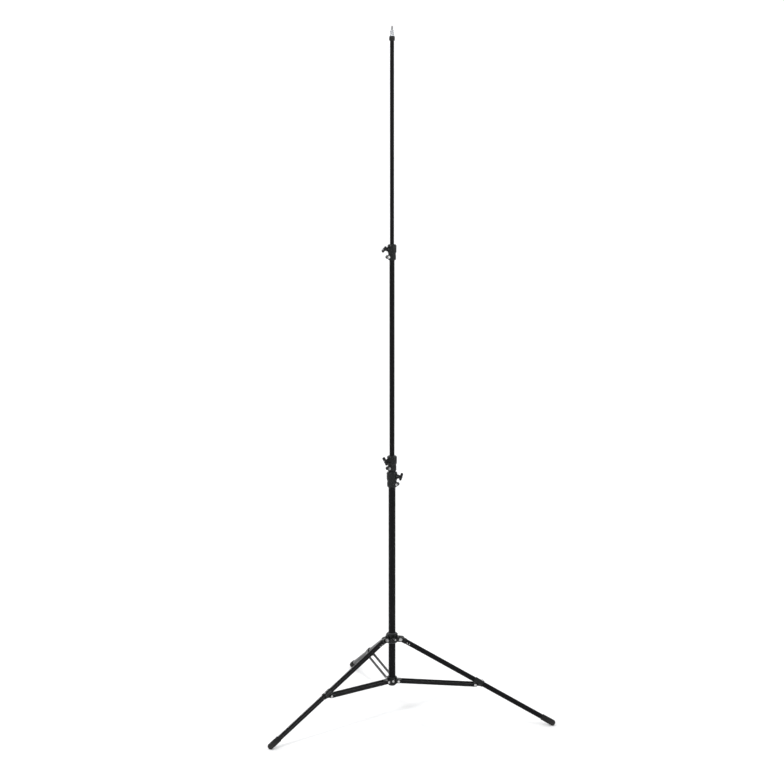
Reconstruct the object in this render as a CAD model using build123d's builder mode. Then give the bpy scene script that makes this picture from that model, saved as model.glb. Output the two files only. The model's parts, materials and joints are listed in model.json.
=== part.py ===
from build123d import *
import os
from math import atan2, cos, degrees, hypot, radians, sin

# Folding light stand: a column of four telescopic tubes, locked by clamp collars with
# T-knobs, on three legs that fold up against it. Millimetres, floor at z = 0, column
# on the z axis.

# Clearances
SLIDE_GAP = 0.3  # between parts that slide or turn past each other
PIVOT_GAP = 0.05  # radial, a pin in the hole it turns in

# Column tubes, from the base tube to the top riser
TUBE_RADII = (14.0, 12.0, 10.0, 8.0)
TUBE_WALL = 1.5
TUBE_BOTTOMS = (118.0, 178.0, 968.0, 1781.0)
COLUMN_TOP = 2663.0
BUSH_FLANGE = 8.0
BUSH_PLUG = 14.0
COLUMN_PLUG_FLANGE = 5.0

# Clamp collars, each fixed on the top end of its lower tube
COLLAR_BOTTOMS = (918.0, 982.0, 1812.0)
COLLAR_HEIGHT = 61.0
COLLAR_SOCKET = 38.0  # depth of the lower tube in the collar
COLLAR_SKIRT = 4.5  # wall outside the lower tube
COLLAR_SWELL = 7.5  # the same at the swelling round the knob
COLLAR_NECK = 23.0  # where the skirt begins to swell
COLLAR_BULGE = 34.0  # where the swelling is full
COLLAR_CROWN = 9.0  # height of the rounded top edge
COLLAR_RIM = 1.5  # chamfer at the lower edge
COLLAR_AZIMUTHS = (342.0, 222.0, 207.0)
KNOB_TURNS = (35.0, -50.0, 32.0)
KNOB_HEIGHT = 43.0  # knob axis above the collar's lower end
BOSS_RADIUS = 8.5
BOSS_REACH = 13.5  # end of the knob boss outside the lower tube
LUG_HEIGHT = 15.0
LUG_BOTTOM = 5.0
LUG_WIDTH = 15.0
LUG_REACH = 15.0
CLAMP_SLOT = 2.0
CLAMP_BOLT_RADIUS = 2.5
CLAMP_HEAD_RADIUS = 4.7
CLAMP_HEAD_HEIGHT = 4.0
CLAMP_BOLT_TAIL = 6.0  # bolt end beyond the lug

# Knobs and their screws
SCREW_RADIUS = 4.0
KNOB_LENGTH = 36.0
KNOB_THICKNESS = 12.5
KNOB_DEPTH = 11.0
KNOB_STEM_RADIUS = 6.5
KNOB_STEM = 4.0
SHOE_THICKNESS = 3.0
KNOB_ROUNDING = 3.0

# Top fitting
CAP_RADIUS = 10.5
CAP_SKIRT = 14.0
CAP_TOP = 4.0
SPIGOT_RADIUS = 8.0
SPIGOT_LENGTH = 22.0
SPIGOT_WAIST = 6.6
WAIST_START = 6.0  # above the spigot's shoulder, tapered edge included
WAIST_LENGTH = 9.0
WAIST_TAPER = 2.0
STUD_RADIUS = 4.75
STUD_LENGTH = 16.0
SPIGOT_SHANK = 28.0

# Legs: the hub that slides on the base tube, the spider at its lower end
LEG_AZIMUTHS = (225.0, 345.0, 105.0)
HUB_HEIGHT = 305.0
HUB_PIVOT_RADIUS = 38.0
HUB_RING_RADIUS = 23.0
HUB_RING_BELOW = 15.0
HUB_RING_ABOVE = 21.0
HUB_KNOB_AZIMUTH = 285.0
HUB_KNOB_RISE = 6.0
HUB_BOSS_REACH = 36.0
HUB_KNOB_TURN = 20.0
LINER_WALL = 2.7
LINER_LIP = 2.5
LIP_REACH = 2.0  # of the hub's liner, beyond its wall
COLLAR_LIP = 0.7  # height of a collar liner's lip
COLLAR_LIP_REACH = 1.0
CHEEK_RADIUS = 10.5
CHEEK_THICKNESS = 5.0
TONGUE_THICKNESS = 12.0
TONGUE_RADIUS = 9.5
HUB_BOLT_RADIUS = 4.0
HUB_BOLT_HEAD = 6.5
HUB_NUT_HEIGHT = 5.0
HUB_BOLT_TAIL = 1.5
SPIDER_HEIGHT = 133.0
SPIDER_PIVOT_RADIUS = 32.0
SPIDER_RING_RADIUS = 20.0
SPIDER_RING_BELOW = 15.0
SPIDER_RING_ABOVE = 16.0
SPIDER_ARM_WIDTH = 24.0
SPIDER_ARM_RADIUS = 8.0
SPIDER_SCREW_RADIUS = 2.5
SPIDER_SCREW_DOME = 2.6

FOOT_SPREAD = 650.0  # column axis to the middle of a foot's ball
FOOT_RADIUS = 12.0
FOOT_FLAT_RADIUS = 3.7  # worn flat that stands on the floor
FOOT_SLEEVE = 46.0
FOOT_RINGS = (12.0, 18.0, 24.0)  # grooves, above the ball's middle
RING_WIDTH = 2.0
RING_DEPTH = 0.7
LEG_RADIUS = 10.0
LEG_COLLAR_RADIUS = 11.2
LEG_COLLAR_START = 14.0
LEG_TUBE_START = 22.0
LEG_PLUG = 26.0
BRACE_FRACTION = 0.51  # of the leg, from the hub pivot to the brace pin
BRACE_OFFSET = 14.0  # brace pin below the leg's axis
BRACE_PIN_RADIUS = 3.0
BRACE_HALF_GAP = 12.5  # column plane to a strip's inner face
STRIP_THICKNESS = 2.0
STRIP_WIDTH = 13.0
RIVET_HEAD_RADIUS = 5.5
RIVET_HEAD_HEIGHT = 2.5
BRACKET_HALF_WIDTH = 11.0
BRACKET_RADIUS = 12.1
BRACKET_START = -13.0  # along the leg from the brace pin
BRACKET_END = 24.0
BRACKET_BOLT_ALONG = 15.0
BRACKET_BOLT_RADIUS = 2.5
BRACKET_BOLT_DOME = 3.5
BRACKET_LUG_RADIUS = 7.0
BRACKET_LUG_TAIL = 20.0  # its outer end, tapered towards the leg
BRACKET_TAIL_DROP = 8.0

# Worked out from the above
FOOT_HEIGHT = (FOOT_RADIUS**2 - FOOT_FLAT_RADIUS**2) ** 0.5
LEG_RUN = FOOT_SPREAD - HUB_PIVOT_RADIUS
LEG_DROP = HUB_HEIGHT - FOOT_HEIGHT
LEG_LENGTH = hypot(LEG_RUN, LEG_DROP)
LEG_ANGLE = degrees(atan2(LEG_RUN, LEG_DROP))  # from straight down
BRACE_ALONG = BRACE_FRACTION * LEG_LENGTH


def from_azimuth(azimuth, radius, height):
    """Point at this radius from the column and height above the floor."""
    turn = radians(azimuth)
    return Vector(radius * cos(turn), radius * sin(turn), height)


def outward_plane(azimuth, radius, height, turn=0.0):
    """Plane whose normal points away from the column; turn rolls its x from level."""
    outward = from_azimuth(azimuth, 1, 0)
    sideways = from_azimuth(azimuth + 90, 1, 0)
    x_dir = sideways * cos(radians(turn)) + Vector(0, 0, 1) * sin(radians(turn))
    return Plane(origin=from_azimuth(azimuth, radius, height), x_dir=x_dir, z_dir=outward)


def side_plane(azimuth, radius, height, angle=90.0):
    """Plane square to a leg's hinge axis, x along a line this far from straight down."""
    outward = from_azimuth(azimuth, 1, 0)
    along = outward * sin(radians(angle)) - Vector(0, 0, 1) * cos(radians(angle))
    hinge = from_azimuth(azimuth + 90, 1, 0)
    return Plane(origin=from_azimuth(azimuth, radius, height), x_dir=along, z_dir=hinge)


def level_plane(azimuth, height):
    """Level plane on the column axis with x pointing along the azimuth."""
    return Plane(origin=(0, 0, height), x_dir=from_azimuth(azimuth, 1, 0), z_dir=(0, 0, 1))


def leg_side(azimuth):
    """Plane square to a leg's hinge axis, at the hub pivot, with x down the leg."""
    return side_plane(azimuth, HUB_PIVOT_RADIUS, HUB_HEIGHT, LEG_ANGLE)


def leg_plane(azimuth):
    """Plane at the hub pivot whose normal runs down the leg and whose x is its hinge."""
    side = leg_side(azimuth)
    return Plane(origin=side.origin, x_dir=side.z_dir, z_dir=side.x_dir)


def brace_pin_plane(azimuth):
    """Plane at the pin that joins a leg to its brace, its normal along the pin."""
    side = leg_side(azimuth)
    pin = side.from_local_coords(Vector(BRACE_ALONG, BRACE_OFFSET, 0))
    return Plane(origin=pin, x_dir=side.x_dir, z_dir=side.z_dir)


def bracket_bolt_plane(azimuth):
    """Plane on a leg's axis whose normal runs up the bolt of its bracket."""
    side = leg_side(azimuth)
    bolt = side.from_local_coords(Vector(BRACE_ALONG + BRACKET_BOLT_ALONG, 0, 0))
    return Plane(origin=bolt, x_dir=side.x_dir, z_dir=-side.y_dir)


def rod(plane, radius, start, end, mode=Mode.ADD):
    """Round bar in the part being built, along the plane's normal."""
    with BuildSketch(plane.offset(start)) as section:
        Circle(radius)
    extrude(section.sketch, amount=end - start, mode=mode)


def hexagon(plane, radius, start, end):
    """Six-sided bolt head or nut in the part being built."""
    with BuildSketch(plane.offset(start)) as section:
        RegularPolygon(radius, 6)
    extrude(section.sketch, amount=end - start)


def domed_head(plane, radius, start, height):
    """Round-topped rivet or screw head in the part being built."""
    section_plane = Plane(
        origin=plane.offset(start).origin,
        x_dir=plane.x_dir,
        z_dir=plane.x_dir.cross(plane.z_dir),
    )
    rim = 0.25 * height
    with BuildSketch(section_plane) as section:
        with BuildLine():
            Polyline((0, height), (0, 0), (radius, 0), (radius, rim))
            Spline((radius, rim), (0, height), tangents=[(0, 1), (-1, 0)])
        make_face()
    revolve(section.sketch, axis=Axis(plane.origin, plane.z_dir))


def save(part, name):
    part.part.label = name
    export_step(part.part, f"parts/{name}.step")


os.makedirs("parts", exist_ok=True)


# ---------------------------------------------------------------- column tubes
def column_tube(number):
    """One tube of the column; all but the top one end in their clamp collar."""
    radius = TUBE_RADII[number]
    last = number == len(COLLAR_BOTTOMS)
    top = COLUMN_TOP if last else COLLAR_BOTTOMS[number] + COLLAR_SOCKET
    with BuildPart() as tube:
        with BuildSketch(Plane.XY.offset(TUBE_BOTTOMS[number])):
            Circle(radius)
            Circle(radius - TUBE_WALL, mode=Mode.SUBTRACT)
        extrude(amount=top - TUBE_BOTTOMS[number])
    save(tube, "base_tube" if number == 0 else f"riser_tube_{number}")


def riser_bush(number):
    """Plastic guide in a riser's lower end, running inside the tube below."""
    plug = TUBE_RADII[number] - TUBE_WALL
    guide = TUBE_RADII[number - 1] - TUBE_WALL - SLIDE_GAP
    bottom = TUBE_BOTTOMS[number] - BUSH_FLANGE
    with BuildPart() as bush:
        rod(Plane.XY, guide, bottom, TUBE_BOTTOMS[number])
        chamfer(bush.edges().group_by(Axis.Z)[0], 0.8)
        rod(Plane.XY, plug, TUBE_BOTTOMS[number], TUBE_BOTTOMS[number] + BUSH_PLUG)
        rod(Plane.XY, plug - 3, bottom, TUBE_BOTTOMS[number] + BUSH_PLUG, mode=Mode.SUBTRACT)
    save(bush, f"riser_bush_{number}")


for section in range(4):
    column_tube(section)
for section in (1, 2, 3):
    riser_bush(section)

with BuildPart() as column_plug:
    rod(Plane.XY, TUBE_RADII[0], TUBE_BOTTOMS[0] - COLUMN_PLUG_FLANGE, TUBE_BOTTOMS[0])
    fillet(column_plug.edges().group_by(Axis.Z)[0], 2)
    rod(Plane.XY, TUBE_RADII[0] - TUBE_WALL, TUBE_BOTTOMS[0], TUBE_BOTTOMS[0] + BUSH_PLUG)
save(column_plug, "column_plug")


# -------------------------------------------------------------- clamp collars
def clamp_bolt_plane(number):
    """Plane in the middle of a collar's lug, its normal along the clamp bolt."""
    reach = TUBE_RADII[number] + LUG_REACH - LUG_HEIGHT / 2
    height = COLLAR_BOTTOMS[number] + LUG_BOTTOM + LUG_HEIGHT / 2
    return side_plane(COLLAR_AZIMUTHS[number], reach, height)


def clamp_collar(number):
    """Moulded collar with a knob boss above and a split clamp lug below."""
    lower = TUBE_RADII[number]
    riser = TUBE_RADII[number + 1]
    bottom = COLLAR_BOTTOMS[number]
    top = bottom + COLLAR_HEIGHT
    azimuth = COLLAR_AZIMUTHS[number]
    skirt = lower + COLLAR_SKIRT
    swell = lower + COLLAR_SWELL
    neck = bottom + COLLAR_NECK
    bulge = bottom + COLLAR_BULGE
    crown = top - COLLAR_CROWN
    boss_end = lower + BOSS_REACH
    knob_plane = outward_plane(azimuth, 0, bottom + KNOB_HEIGHT)
    lug_plane = level_plane(azimuth, bottom)
    lug_side = clamp_bolt_plane(number)
    with BuildPart() as collar:
        with BuildSketch(Plane.XZ):
            with BuildLine():
                Polyline(
                    (0, bottom),
                    (skirt - COLLAR_RIM, bottom),
                    (skirt, bottom + COLLAR_RIM),
                    (skirt, neck),
                )
                Spline((skirt, neck), (swell, bulge), tangents=[(0, 1), (0, 1)])
                Line((swell, bulge), (swell, crown))
                Spline((swell, crown), (skirt - 2, top), tangents=[(0, 1), (-1, 0)])
                Polyline((skirt - 2, top), (0, top), (0, bottom))
            make_face()
        revolve(axis=Axis.Z)
        rod(knob_plane, BOSS_RADIUS, riser, boss_end)
        circles = collar.edges().filter_by(GeomType.CIRCLE)
        chamfer(circles.sort_by_distance(knob_plane.offset(boss_end).origin)[0], 1)
        with BuildSketch(lug_side.offset(-LUG_WIDTH / 2)):
            with Locations((-LUG_HEIGHT / 2, 0)):
                Rectangle(LUG_HEIGHT, LUG_HEIGHT)
            Circle(LUG_HEIGHT / 2)
        extrude(amount=LUG_WIDTH)
        with BuildSketch(lug_plane):
            with Locations((lower + LUG_REACH / 2, 0)):
                Rectangle(LUG_REACH + lower, CLAMP_SLOT)
        extrude(amount=LUG_BOTTOM + LUG_HEIGHT + 2, mode=Mode.SUBTRACT)
        rod(lug_side, CLAMP_BOLT_RADIUS, -LUG_WIDTH, LUG_WIDTH, mode=Mode.SUBTRACT)
        rod(Plane.XY, lower, bottom, bottom + COLLAR_SOCKET, mode=Mode.SUBTRACT)
        rod(Plane.XY, riser + LINER_WALL, bottom, top, mode=Mode.SUBTRACT)
        rod(knob_plane, SCREW_RADIUS, riser, boss_end, mode=Mode.SUBTRACT)
    save(collar, f"collar_{number + 1}")


def clamp_bolt(number):
    """Bolt and nut that pinch a collar on its lower tube."""
    plane = clamp_bolt_plane(number)
    half = LUG_WIDTH / 2
    with BuildPart() as bolt:
        rod(plane, CLAMP_BOLT_RADIUS, -half, half + CLAMP_BOLT_TAIL)
        rod(plane, CLAMP_HEAD_RADIUS, -half - CLAMP_HEAD_HEIGHT, -half)
        chamfer(bolt.edges().group_by(Axis(plane.origin, plane.z_dir))[0], 0.6)
        hexagon(plane, CLAMP_HEAD_RADIUS, half, half + CLAMP_HEAD_HEIGHT)
    save(bolt, f"clamp_bolt_{number + 1}")


def collar_liner(number):
    """Plastic ring in a collar's mouth that the riser slides through."""
    riser = TUBE_RADII[number + 1]
    bottom = COLLAR_BOTTOMS[number] + COLLAR_SOCKET
    top = COLLAR_BOTTOMS[number] + COLLAR_HEIGHT
    wall = riser + LINER_WALL
    screw_plane = outward_plane(COLLAR_AZIMUTHS[number], 0, COLLAR_BOTTOMS[number] + KNOB_HEIGHT)
    with BuildPart() as liner:
        rod(Plane.XY, wall, bottom, top)
        rod(Plane.XY, wall + COLLAR_LIP_REACH, top, top + COLLAR_LIP)
        rod(Plane.XY, riser + SLIDE_GAP, bottom, top + COLLAR_LIP, mode=Mode.SUBTRACT)
        rod(screw_plane, SCREW_RADIUS, 0, wall + 1, mode=Mode.SUBTRACT)
    save(liner, f"collar_liner_{number + 1}")


def brake_shoe(number):
    """Pad that the knob's screw presses on the riser."""
    riser = TUBE_RADII[number + 1]
    bottom = COLLAR_BOTTOMS[number]
    plane = outward_plane(COLLAR_AZIMUTHS[number], 0, bottom + KNOB_HEIGHT)
    with BuildPart() as shoe:
        rod(plane, SCREW_RADIUS, riser - 2, riser + SHOE_THICKNESS)
        rod(Plane.XY, riser + SLIDE_GAP, bottom, bottom + COLLAR_HEIGHT, mode=Mode.SUBTRACT)
    save(shoe, f"brake_shoe_{number + 1}")


for section in range(3):
    clamp_collar(section)
    clamp_bolt(section)
    collar_liner(section)
    brake_shoe(section)


# --------------------------------------------------------------- lock knobs
def lock_knob(name, azimuth, boss_end, height, turn):
    """T-shaped knob, its bar across the screw's axis."""
    stem = outward_plane(azimuth, 0, height, turn)
    start = boss_end + 2 * SLIDE_GAP
    bar_start = start + KNOB_STEM
    bar_middle = bar_start + KNOB_DEPTH / 2
    with BuildPart() as knob:
        with BuildSketch(stem.offset(bar_start)):
            SlotOverall(KNOB_LENGTH, KNOB_THICKNESS)
        extrude(amount=KNOB_DEPTH)
        fillet(knob.edges(), KNOB_ROUNDING)
        rod(stem, KNOB_STEM_RADIUS, start, bar_middle)
        rod(stem, SCREW_RADIUS - PIVOT_GAP, start, bar_middle, mode=Mode.SUBTRACT)
    save(knob, name)


def lock_screw(name, azimuth, tip, boss_end, height):
    """Threaded rod of a lock knob."""
    end = boss_end + 2 * SLIDE_GAP + KNOB_STEM + KNOB_DEPTH / 2
    with BuildPart() as screw:
        rod(outward_plane(azimuth, 0, height), SCREW_RADIUS - PIVOT_GAP, tip, end)
    save(screw, name)


for section, azimuth in enumerate(COLLAR_AZIMUTHS):
    boss = TUBE_RADII[section] + BOSS_REACH
    knob_z = COLLAR_BOTTOMS[section] + KNOB_HEIGHT
    screw_tip = TUBE_RADII[section + 1] + SHOE_THICKNESS + SLIDE_GAP
    lock_knob(f"lock_knob_{section + 1}", azimuth, boss, knob_z, KNOB_TURNS[section])
    lock_screw(f"lock_screw_{section + 1}", azimuth, screw_tip, boss, knob_z)

HUB_KNOB_Z = HUB_HEIGHT + HUB_KNOB_RISE
HUB_SCREW_TIP = TUBE_RADII[0] + 2 * SLIDE_GAP
lock_knob("hub_knob", HUB_KNOB_AZIMUTH, HUB_BOSS_REACH, HUB_KNOB_Z, HUB_KNOB_TURN)
lock_screw("hub_screw", HUB_KNOB_AZIMUTH, HUB_SCREW_TIP, HUB_BOSS_REACH, HUB_KNOB_Z)

# --------------------------------------------------------------- top fitting
SPIGOT_BOTTOM = COLUMN_TOP + CAP_TOP
SPIGOT_TOP = SPIGOT_BOTTOM + SPIGOT_LENGTH
WAIST_BOTTOM = SPIGOT_BOTTOM + WAIST_START
WAIST_TOP = WAIST_BOTTOM + WAIST_LENGTH
SHANK_RADIUS = TUBE_RADII[3] - TUBE_WALL

with BuildPart() as top_cap:
    rod(Plane.XY, CAP_RADIUS, COLUMN_TOP - CAP_SKIRT, SPIGOT_BOTTOM)
    chamfer(top_cap.edges().group_by(Axis.Z)[-1], 1.5)
    chamfer(top_cap.edges().group_by(Axis.Z)[0], 0.8)
    rod(Plane.XY, TUBE_RADII[3], COLUMN_TOP - CAP_SKIRT, COLUMN_TOP, mode=Mode.SUBTRACT)
    rod(Plane.XY, SHANK_RADIUS, COLUMN_TOP, SPIGOT_BOTTOM, mode=Mode.SUBTRACT)
save(top_cap, "top_cap")

with BuildPart() as top_spigot:
    rod(Plane.XY, SHANK_RADIUS, COLUMN_TOP - SPIGOT_SHANK, SPIGOT_BOTTOM)
    with BuildSketch(Plane.XZ):
        with BuildLine():
            Polyline(
                (0, SPIGOT_BOTTOM),
                (SPIGOT_RADIUS, SPIGOT_BOTTOM),
                (SPIGOT_RADIUS, WAIST_BOTTOM),
                (SPIGOT_WAIST, WAIST_BOTTOM + WAIST_TAPER),
                (SPIGOT_WAIST, WAIST_TOP - WAIST_TAPER),
                (SPIGOT_RADIUS, WAIST_TOP),
                (SPIGOT_RADIUS, SPIGOT_TOP - 1),
                (SPIGOT_RADIUS - 1, SPIGOT_TOP),
                (0, SPIGOT_TOP),
                (0, SPIGOT_BOTTOM),
            )
        make_face()
    revolve(axis=Axis.Z)
save(top_spigot, "top_spigot")

with BuildPart() as spigot_stud:
    rod(Plane.XY, STUD_RADIUS, SPIGOT_TOP, SPIGOT_TOP + STUD_LENGTH)
    chamfer(spigot_stud.edges().group_by(Axis.Z)[-1], 0.8)
save(spigot_stud, "spigot_stud")


# ------------------------------------------------------------------- leg hub
hub_screw_plane = outward_plane(HUB_KNOB_AZIMUTH, 0, HUB_KNOB_Z)
hub_bottom = HUB_HEIGHT - HUB_RING_BELOW
hub_top = HUB_HEIGHT + HUB_RING_ABOVE
liner_radius = TUBE_RADII[0] + LINER_WALL
cheek_inner = TONGUE_THICKNESS / 2 + SLIDE_GAP
cheek_outer = cheek_inner + CHEEK_THICKNESS

with BuildPart() as leg_hub:
    rod(Plane.XY, HUB_RING_RADIUS, hub_bottom, hub_top)
    chamfer(leg_hub.edges().filter_by(GeomType.CIRCLE), 2)
    rod(hub_screw_plane, BOSS_RADIUS, TUBE_RADII[0], HUB_BOSS_REACH)
    for leg_azimuth in LEG_AZIMUTHS:
        hinge_plane = side_plane(leg_azimuth, HUB_PIVOT_RADIUS, HUB_HEIGHT)
        for inner_face in (cheek_inner, -cheek_outer):
            with BuildSketch(hinge_plane.offset(inner_face)):
                with Locations((-TUBE_RADII[0] / 2 - CHEEK_RADIUS / 2, 0)):
                    Rectangle(TUBE_RADII[0] + CHEEK_RADIUS, 2 * CHEEK_RADIUS)
                Circle(CHEEK_RADIUS)
                Circle(HUB_BOLT_RADIUS, mode=Mode.SUBTRACT)
            extrude(amount=CHEEK_THICKNESS)
    rod(Plane.XY, liner_radius, hub_bottom, hub_top, mode=Mode.SUBTRACT)
    rod(hub_screw_plane, SCREW_RADIUS, TUBE_RADII[0], HUB_BOSS_REACH, mode=Mode.SUBTRACT)
save(leg_hub, "leg_hub")

with BuildPart() as hub_liner:
    rod(Plane.XY, liner_radius, hub_bottom, hub_top)
    rod(Plane.XY, liner_radius + LIP_REACH, hub_bottom - LINER_LIP, hub_bottom)
    rod(Plane.XY, liner_radius + LIP_REACH, hub_top, hub_top + LINER_LIP)
    rod(Plane.XY, TUBE_RADII[0] + SLIDE_GAP, hub_bottom - LINER_LIP, hub_top + LINER_LIP, mode=Mode.SUBTRACT)
    rod(hub_screw_plane, SCREW_RADIUS, 0, HUB_BOSS_REACH, mode=Mode.SUBTRACT)
save(hub_liner, "hub_liner")

with BuildPart() as leg_pivot_bolts:
    for leg_azimuth in LEG_AZIMUTHS:
        hinge_plane = side_plane(leg_azimuth, HUB_PIVOT_RADIUS, HUB_HEIGHT)
        nut_end = cheek_outer + HUB_NUT_HEIGHT
        rod(hinge_plane, HUB_BOLT_RADIUS, -cheek_outer, nut_end + HUB_BOLT_TAIL)
        hexagon(hinge_plane, HUB_BOLT_HEAD, -nut_end, -cheek_outer)
        hexagon(hinge_plane, HUB_BOLT_HEAD, cheek_outer, nut_end)
save(leg_pivot_bolts, "leg_pivot_bolts")

# -------------------------------------------------------------- brace spider
spider_bottom = SPIDER_HEIGHT - SPIDER_RING_BELOW
spider_top = SPIDER_HEIGHT + SPIDER_RING_ABOVE
with BuildPart() as brace_spider:
    rod(Plane.XY, SPIDER_RING_RADIUS, spider_bottom, spider_top)
    chamfer(brace_spider.edges().filter_by(GeomType.CIRCLE), 2)
    for leg_azimuth in LEG_AZIMUTHS:
        arm_plane = side_plane(leg_azimuth, SPIDER_PIVOT_RADIUS, SPIDER_HEIGHT)
        with BuildSketch(arm_plane.offset(-SPIDER_ARM_WIDTH / 2)):
            with Locations((-TUBE_RADII[0] / 2, 0)):
                Rectangle(TUBE_RADII[0], 2 * SPIDER_ARM_RADIUS)
            Circle(SPIDER_ARM_RADIUS)
        extrude(amount=SPIDER_ARM_WIDTH)
        rod(arm_plane, BRACE_PIN_RADIUS, -SPIDER_ARM_WIDTH, SPIDER_ARM_WIDTH, mode=Mode.SUBTRACT)
    rod(Plane.XY, TUBE_RADII[0], spider_bottom, spider_top, mode=Mode.SUBTRACT)
    for leg_azimuth in LEG_AZIMUTHS:
        screw_plane = outward_plane(leg_azimuth + 60, 0, SPIDER_HEIGHT)
        rod(screw_plane, SPIDER_SCREW_RADIUS, 0, SPIDER_RING_RADIUS + 2, mode=Mode.SUBTRACT)
save(brace_spider, "brace_spider")

with BuildPart() as spider_screws:
    for leg_azimuth in LEG_AZIMUTHS:
        screw_plane = outward_plane(leg_azimuth + 60, 0, SPIDER_HEIGHT)
        rod(screw_plane, SPIDER_SCREW_RADIUS, TUBE_RADII[0], SPIDER_RING_RADIUS)
        domed_head(screw_plane, 2 * SPIDER_SCREW_RADIUS, SPIDER_RING_RADIUS, SPIDER_SCREW_DOME)
save(spider_screws, "spider_screws")

strip_outer = BRACE_HALF_GAP + STRIP_THICKNESS
head = strip_outer + SLIDE_GAP
with BuildPart() as spider_pins:
    for leg_azimuth in LEG_AZIMUTHS:
        pin_plane = side_plane(leg_azimuth, SPIDER_PIVOT_RADIUS, SPIDER_HEIGHT)
        rod(pin_plane, BRACE_PIN_RADIUS, -head, head)
        domed_head(pin_plane, RIVET_HEAD_RADIUS, head, RIVET_HEAD_HEIGHT)
        domed_head(-pin_plane, RIVET_HEAD_RADIUS, head, RIVET_HEAD_HEIGHT)
save(spider_pins, "spider_pins")


# ---------------------------------------------------------------------- legs
def leg_end(number, azimuth):
    """Moulded end of a leg: tongue in the hub, shoulder, plug in the tube."""
    side = leg_side(azimuth)
    along = leg_plane(azimuth)
    with BuildPart() as fitting:
        with BuildSketch(side.offset(-TONGUE_THICKNESS / 2)):
            with Locations((LEG_COLLAR_START / 2, 0)):
                Rectangle(LEG_COLLAR_START, 2 * TONGUE_RADIUS)
            Circle(TONGUE_RADIUS)
        extrude(amount=TONGUE_THICKNESS)
        rod(along, LEG_COLLAR_RADIUS, LEG_COLLAR_START, LEG_TUBE_START)
        circles = fitting.edges().filter_by(GeomType.CIRCLE)
        chamfer(circles.sort_by_distance(along.offset(LEG_TUBE_START).origin)[0], 0.8)
        rod(along, LEG_RADIUS - TUBE_WALL, LEG_TUBE_START, LEG_TUBE_START + LEG_PLUG)
        rod(side, HUB_BOLT_RADIUS + PIVOT_GAP, -TONGUE_THICKNESS, TONGUE_THICKNESS, mode=Mode.SUBTRACT)
    save(fitting, f"leg_end_{number}")


def leg_tube(number, azimuth):
    """Straight leg tube with the hole for its bracket's bolt."""
    along = leg_plane(azimuth)
    bolt = bracket_bolt_plane(azimuth)
    with BuildPart() as tube:
        rod(along, LEG_RADIUS, LEG_TUBE_START, LEG_LENGTH - FOOT_RADIUS / 2)
        rod(along, LEG_RADIUS - TUBE_WALL, LEG_TUBE_START, LEG_LENGTH, mode=Mode.SUBTRACT)
        rod(bolt, BRACKET_BOLT_RADIUS, -2 * LEG_RADIUS, 2 * LEG_RADIUS, mode=Mode.SUBTRACT)
    save(tube, f"leg_tube_{number}")


def foot_cap(number, azimuth):
    """Rubber cap with a ball end, worn flat where it stands."""
    plane = leg_plane(azimuth)
    with BuildPart() as cap:
        rod(plane, FOOT_RADIUS, LEG_LENGTH - FOOT_SLEEVE, LEG_LENGTH)
        with Locations(plane.offset(LEG_LENGTH)):
            Sphere(FOOT_RADIUS)
        for ring in FOOT_RINGS:
            with BuildSketch(plane.offset(LEG_LENGTH - ring)):
                Circle(FOOT_RADIUS + 1)
                Circle(FOOT_RADIUS - RING_DEPTH, mode=Mode.SUBTRACT)
            extrude(amount=RING_WIDTH, mode=Mode.SUBTRACT)
        rod(plane, LEG_RADIUS, 0, LEG_LENGTH - FOOT_RADIUS / 2, mode=Mode.SUBTRACT)
        split(bisect_by=Plane.XY, keep=Keep.TOP)
    save(cap, f"foot_cap_{number}")


def leg_bracket(number, azimuth):
    """Saddle round the leg with the lug that the brace is pinned to."""
    along = leg_plane(azimuth)
    lug_start = BRACE_ALONG - BRACKET_LUG_RADIUS
    lug_end = BRACE_ALONG + BRACKET_LUG_RADIUS
    tail = BRACE_ALONG + BRACKET_LUG_TAIL
    with BuildPart() as bracket:
        rod(along, BRACKET_RADIUS, BRACE_ALONG + BRACKET_START, BRACE_ALONG + BRACKET_END)
        with BuildSketch(leg_side(azimuth).offset(-BRACKET_HALF_WIDTH)):
            with BuildLine():
                Polyline(
                    (lug_start, 0),
                    (lug_start, BRACE_OFFSET),
                    (lug_end, BRACE_OFFSET),
                    (tail, BRACKET_TAIL_DROP),
                    (tail, 0),
                    (lug_start, 0),
                )
            make_face()
            with Locations((BRACE_ALONG, BRACE_OFFSET)):
                Circle(BRACKET_LUG_RADIUS)
        extrude(amount=2 * BRACKET_HALF_WIDTH)
        rod(along, LEG_RADIUS, 0, LEG_LENGTH, mode=Mode.SUBTRACT)
        for hole, radius in (
            (brace_pin_plane(azimuth), BRACE_PIN_RADIUS),
            (bracket_bolt_plane(azimuth), BRACKET_BOLT_RADIUS),
        ):
            rod(hole, radius, -2 * BRACE_HALF_GAP, 2 * BRACE_HALF_GAP, mode=Mode.SUBTRACT)
    save(bracket, f"leg_bracket_{number}")


def bracket_fixings(number, azimuth):
    """Bolt that holds the bracket on the leg, and the sleeve the brace pin bears on."""
    bolt = bracket_bolt_plane(azimuth)
    sleeve_half = BRACE_HALF_GAP - SLIDE_GAP
    with BuildPart() as fixings:
        rod(bolt, BRACKET_BOLT_RADIUS, -BRACKET_RADIUS, BRACKET_RADIUS)
        domed_head(bolt, 2 * BRACKET_BOLT_RADIUS, BRACKET_RADIUS, BRACKET_BOLT_DOME)
        rod(brace_pin_plane(azimuth), BRACE_PIN_RADIUS, -sleeve_half, sleeve_half)
    save(fixings, f"bracket_fixings_{number}")


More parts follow.
